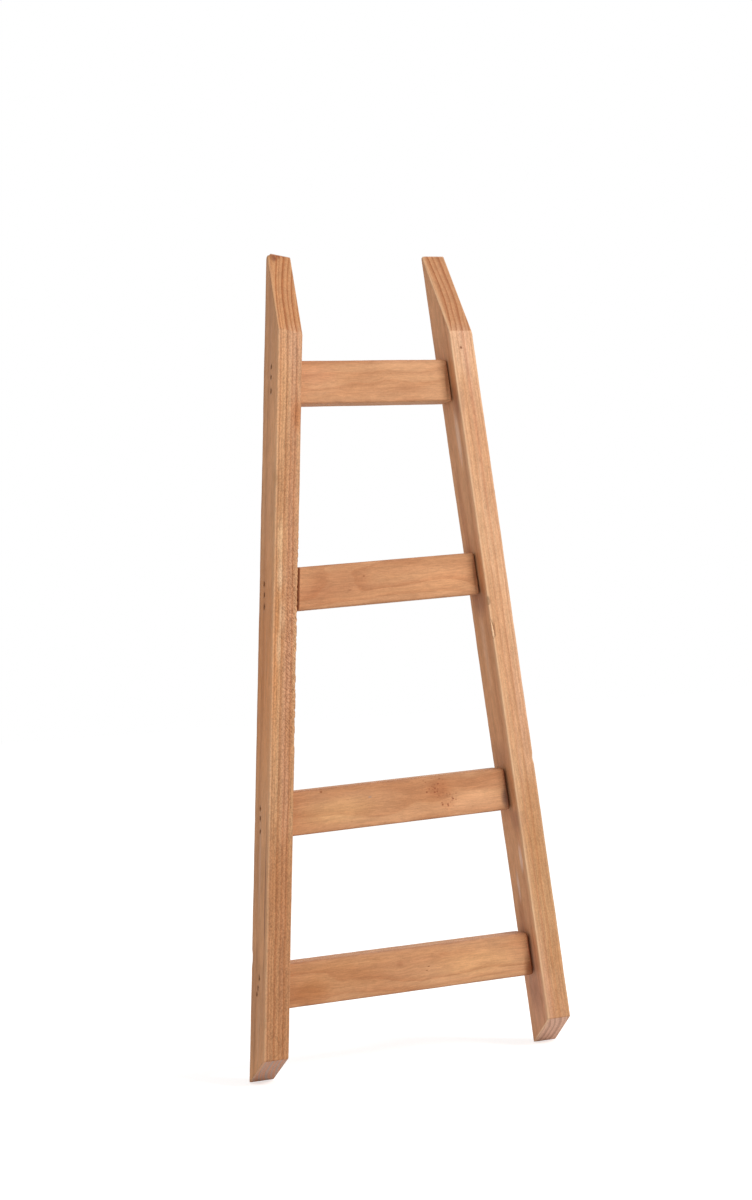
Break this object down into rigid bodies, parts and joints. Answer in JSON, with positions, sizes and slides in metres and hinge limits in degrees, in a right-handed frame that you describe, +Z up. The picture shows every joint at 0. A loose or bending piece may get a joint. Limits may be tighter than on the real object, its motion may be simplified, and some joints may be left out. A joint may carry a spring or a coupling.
{
  "type": "blanket ladder",
  "caption": "Wooden ladder for hanging blankets: stiles that draw in towards the top, rungs set on edge between them, and bevelled tips and soles that lie flat on wall and floor.",
  "frame": {"origin": "on the floor, midway between the outsides of the feet and midway through the depth of the stiles", "axes": "+Z up along the upright ladder, +X from the left stile to the right stile, +Y from the bevelled front to the back"},
  "size_m": [0.4998, 0.064, 1.222],
  "materials": {
    "stile_wood": "wiped-on honey brown stain on planed pine, dull",
    "rung_wood": "wiped-on honey brown stain on planed pine, dull",
    "brad_steel": "bright drawn wire, dulled by the nail gun"
  },
  "bodies": {
    "root": {"left_stile": "stile_wood", "right_stile": "stile_wood", "bottom_rung": "rung_wood", "lower_rung": "rung_wood", "upper_rung": "rung_wood", "top_rung": "rung_wood", "bottom_rung_left_brads": "brad_steel", "bottom_rung_right_brads": "brad_steel", "lower_rung_left_brads": "brad_steel", "lower_rung_right_brads": "brad_steel", "upper_rung_left_brads": "brad_steel", "upper_rung_right_brads": "brad_steel", "top_rung_left_brads": "brad_steel", "top_rung_right_brads": "brad_steel"}
  },
  "joints": []
}
